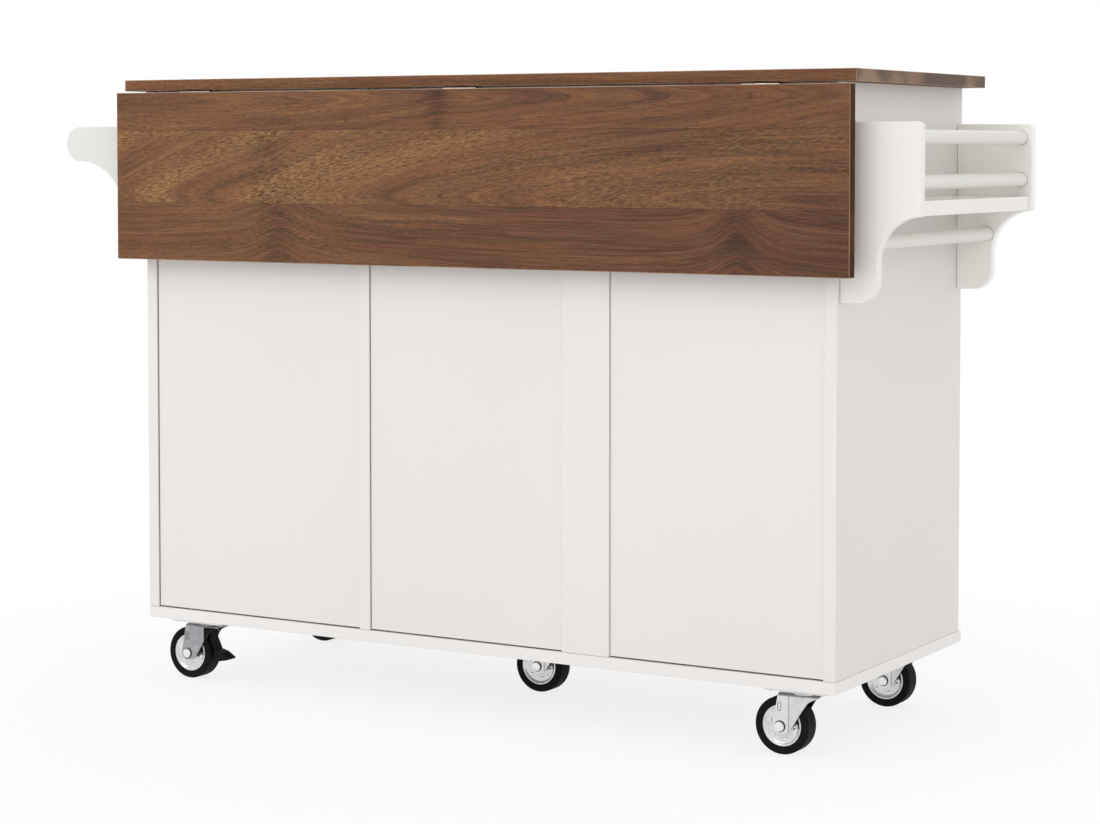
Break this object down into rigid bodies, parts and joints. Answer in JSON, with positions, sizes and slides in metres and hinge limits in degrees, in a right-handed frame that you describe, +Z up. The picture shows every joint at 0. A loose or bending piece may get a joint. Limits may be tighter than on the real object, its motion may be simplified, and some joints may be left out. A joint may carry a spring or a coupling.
{
  "type": "kitchen island",
  "caption": "Rolling kitchen island with a walnut worktop and hinged drop leaf, double-door cabinet, drawers, end spice rack with towel rod, towel bar and swivel casters.",
  "frame": {"origin": "middle of the overall box in plan, on the floor", "axes": "+Z up; +X along the island from the spice rack to the towel bar; +Y towards the back, where the drop leaf hangs; doors and drawers open towards -Y"},
  "size_m": [1.4471, 0.5005, 0.931],
  "materials": {
    "white_board": "satin white lacquer on fibreboard",
    "walnut": "satin walnut veneer",
    "steel": "zinc-plated steel",
    "wheel_rim": "pressed and zinc-plated steel",
    "tyre": "matt black rubber",
    "pedal": "moulded black plastic",
    "drawer_ply": "clear-lacquered birch plywood"
  },
  "bodies": {
    "root": {"base_board": "white_board", "side_panel_rack_end": "white_board", "side_panel_bar_end": "white_board", "partition": "white_board", "back_stile": "white_board", "back_panels": "white_board", "top_rails": "white_board", "worktop": "walnut", "cabinet_shelf": "white_board", "shelf_pins": "steel", "door_hinge_plates": "steel", "drawer_runners": "steel", "caster_mounts": "steel", "worktop_hinge_flaps": "steel", "stay_wall_channels": "steel", "rack_bracket_back": "white_board", "rack_bracket_front": "white_board", "rack_rods": "white_board", "spice_shelf": "white_board", "bar_bracket_back": "white_board", "bar_bracket_front": "white_board", "towel_bar": "white_board"},
    "leaf": {"drop_leaf": "walnut", "leaf_hinge_flaps": "steel", "stay_leaf_arms": "steel"},
    "stay_rack_side": {"stay_rack_side": "steel"},
    "stay_bar_side": {"stay_bar_side": "steel"},
    "left_door": {"left_door": "white_board", "left_door_hinges": "steel", "left_door_pull": "steel"},
    "right_door": {"right_door": "white_board", "right_door_hinges": "steel", "right_door_pull": "steel"},
    "drawer_1": {"drawer_front_1": "white_board", "drawer_box_1": "drawer_ply", "drawer_pull_1": "steel"},
    "drawer_2": {"drawer_front_2": "white_board", "drawer_box_2": "drawer_ply", "drawer_pull_2": "steel"},
    "drawer_3": {"drawer_front_3": "white_board", "drawer_box_3": "drawer_ply", "drawer_pull_3": "steel"},
    "caster_back_rack": {"caster_fork_back_rack": "steel"},
    "wheel_back_rack": {"wheel_rim_back_rack": "wheel_rim", "tyre_back_rack": "tyre"},
    "caster_back_bar": {"caster_fork_back_bar": "steel"},
    "wheel_back_bar": {"wheel_rim_back_bar": "wheel_rim", "tyre_back_bar": "tyre"},
    "caster_front_rack": {"caster_fork_front_rack": "steel"},
    "wheel_front_rack": {"wheel_rim_front_rack": "wheel_rim", "tyre_front_rack": "tyre"},
    "caster_front_bar": {"caster_fork_front_bar": "steel"},
    "wheel_front_bar": {"wheel_rim_front_bar": "wheel_rim", "tyre_front_bar": "tyre"},
    "caster_middle": {"caster_fork_middle": "steel"},
    "wheel_middle": {"wheel_rim_middle": "wheel_rim", "tyre_middle": "tyre"},
    "pedal_back_bar": {"brake_pedal_back_bar": "pedal"},
    "pedal_front_bar": {"brake_pedal_front_bar": "pedal"}
  },
  "joints": [
    {"name": "leaf_fold", "type": "hinge", "parent": "root", "child": "leaf", "pos_m": [-0.02675, 0.23075, 0.9115], "axis": [1, 0, 0], "range_deg": [0, 90]},
    {"name": "stay_rack_side_fold", "type": "hinge", "parent": "leaf", "child": "stay_rack_side", "pos_m": [-0.22525, 0.22625, 0.8115], "axis": [1, 0, 0], "range_deg": [-141, 0]},
    {"name": "stay_bar_side_fold", "type": "hinge", "parent": "leaf", "child": "stay_bar_side", "pos_m": [0.14975, 0.22625, 0.8115], "axis": [1, 0, 0], "range_deg": [-141, 0]},
    {"name": "left_door_swing", "type": "hinge", "parent": "root", "child": "left_door", "pos_m": [-0.58995, -0.22545, 0.505], "axis": [0, 0, -1], "range_deg": [0, 110]},
    {"name": "right_door_swing", "type": "hinge", "parent": "root", "child": "right_door", "pos_m": [0.13945, -0.22545, 0.505], "axis": [0, 0, 1], "range_deg": [0, 90]},
    {"name": "drawer_slide_1", "type": "slide", "parent": "root", "child": "drawer_1", "axis": [0, -1, 0], "range_m": [0, 0.3]},
    {"name": "drawer_slide_2", "type": "slide", "parent": "root", "child": "drawer_2", "axis": [0, -1, 0], "range_m": [0, 0.3]},
    {"name": "drawer_slide_3", "type": "slide", "parent": "root", "child": "drawer_3", "axis": [0, -1, 0], "range_m": [0, 0.3]},
    {"name": "caster_swivel_back_rack", "type": "hinge", "parent": "root", "child": "caster_back_rack", "pos_m": [-0.54525, 0.16975, 0.09], "axis": [0, 0, 1], "continuous": true},
    {"name": "wheel_spin_back_rack", "type": "hinge", "parent": "caster_back_rack", "child": "wheel_back_rack", "pos_m": [-0.51425, 0.16975, 0.04], "axis": [0, 1, 0], "continuous": true},
    {"name": "caster_swivel_back_bar", "type": "hinge", "parent": "root", "child": "caster_back_bar", "pos_m": [0.47375, 0.16975, 0.09], "axis": [0, 0, 1], "continuous": true},
    {"name": "wheel_spin_back_bar", "type": "hinge", "parent": "caster_back_bar", "child": "wheel_back_bar", "pos_m": [0.50475, 0.16975, 0.04], "axis": [0, 1, 0], "continuous": true},
    {"name": "caster_swivel_front_rack", "type": "hinge", "parent": "root", "child": "caster_front_rack", "pos_m": [-0.54525, -0.18425, 0.09], "axis": [0, 0, 1], "continuous": true},
    {"name": "wheel_spin_front_rack", "type": "hinge", "parent": "caster_front_rack", "child": "wheel_front_rack", "pos_m": [-0.51425, -0.18425, 0.04], "axis": [0, 1, 0], "continuous": true},
    {"name": "caster_swivel_front_bar", "type": "hinge", "parent": "root", "child": "caster_front_bar", "pos_m": [0.47375, -0.18425, 0.09], "axis": [0, 0, 1], "continuous": true},
    {"name": "wheel_spin_front_bar", "type": "hinge", "parent": "caster_front_bar", "child": "wheel_front_bar", "pos_m": [0.50475, -0.18425, 0.04], "axis": [0, 1, 0], "continuous": true},
    {"name": "caster_swivel_middle", "type": "hinge", "parent": "root", "child": "caster_middle", "pos_m": [-0.05025, -0.01525, 0.09], "axis": [0, 0, 1], "continuous": true},
    {"name": "wheel_spin_middle", "type": "hinge", "parent": "caster_middle", "child": "wheel_middle", "pos_m": [-0.01925, -0.01525, 0.04], "axis": [0, 1, 0], "continuous": true},
    {"name": "brake_pedal_back_bar", "type": "hinge", "parent": "caster_back_bar", "child": "pedal_back_bar", "pos_m": [0.46975, 0.16975, 0.075], "axis": [0, -1, 0], "range_deg": [0, 6]},
    {"name": "brake_pedal_front_bar", "type": "hinge", "parent": "caster_front_bar", "child": "pedal_front_bar", "pos_m": [0.46975, -0.18425, 0.075], "axis": [0, -1, 0], "range_deg": [0, 6]}
  ],
  "couplings": [
    {"joint": "stay_rack_side_fold", "follows": "leaf_fold", "ratio": -1.5666},
    {"joint": "stay_bar_side_fold", "follows": "leaf_fold", "ratio": -1.5666}
  ]
}
